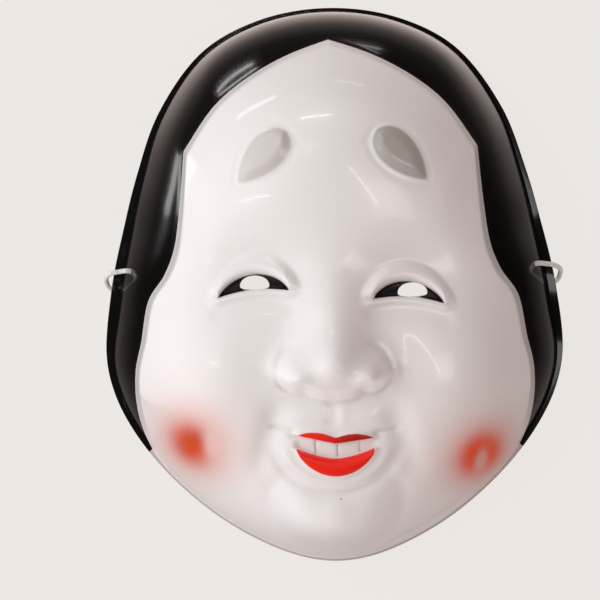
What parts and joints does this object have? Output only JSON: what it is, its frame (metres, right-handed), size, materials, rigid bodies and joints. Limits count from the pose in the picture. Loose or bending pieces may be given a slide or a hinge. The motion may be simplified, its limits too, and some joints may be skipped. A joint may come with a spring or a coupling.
{
  "type": "okame mask",
  "caption": "Thin moulded mask of a smiling round-faced woman with black parted hair, see-through pupils and a loose white elastic tied through the temples.",
  "frame": {"origin": "middle of the shell's box, on the surface that the rim rests on", "axes": "+X to the right of the picture of the face, +Y towards the forehead, +Z out of the face"},
  "size_m": [0.1776, 0.2152, 0.0802],
  "materials": {
    "lacquered_shell": "glossy white face with glossy black hair, red lips, black eye lines and an orange-red blush",
    "elastic": "matte white braided cover"
  },
  "bodies": {
    "root": {"mask_shell": "lacquered_shell", "elastic_cord": "elastic", "knot_left": "elastic", "knot_right": "elastic"}
  },
  "joints": []
}
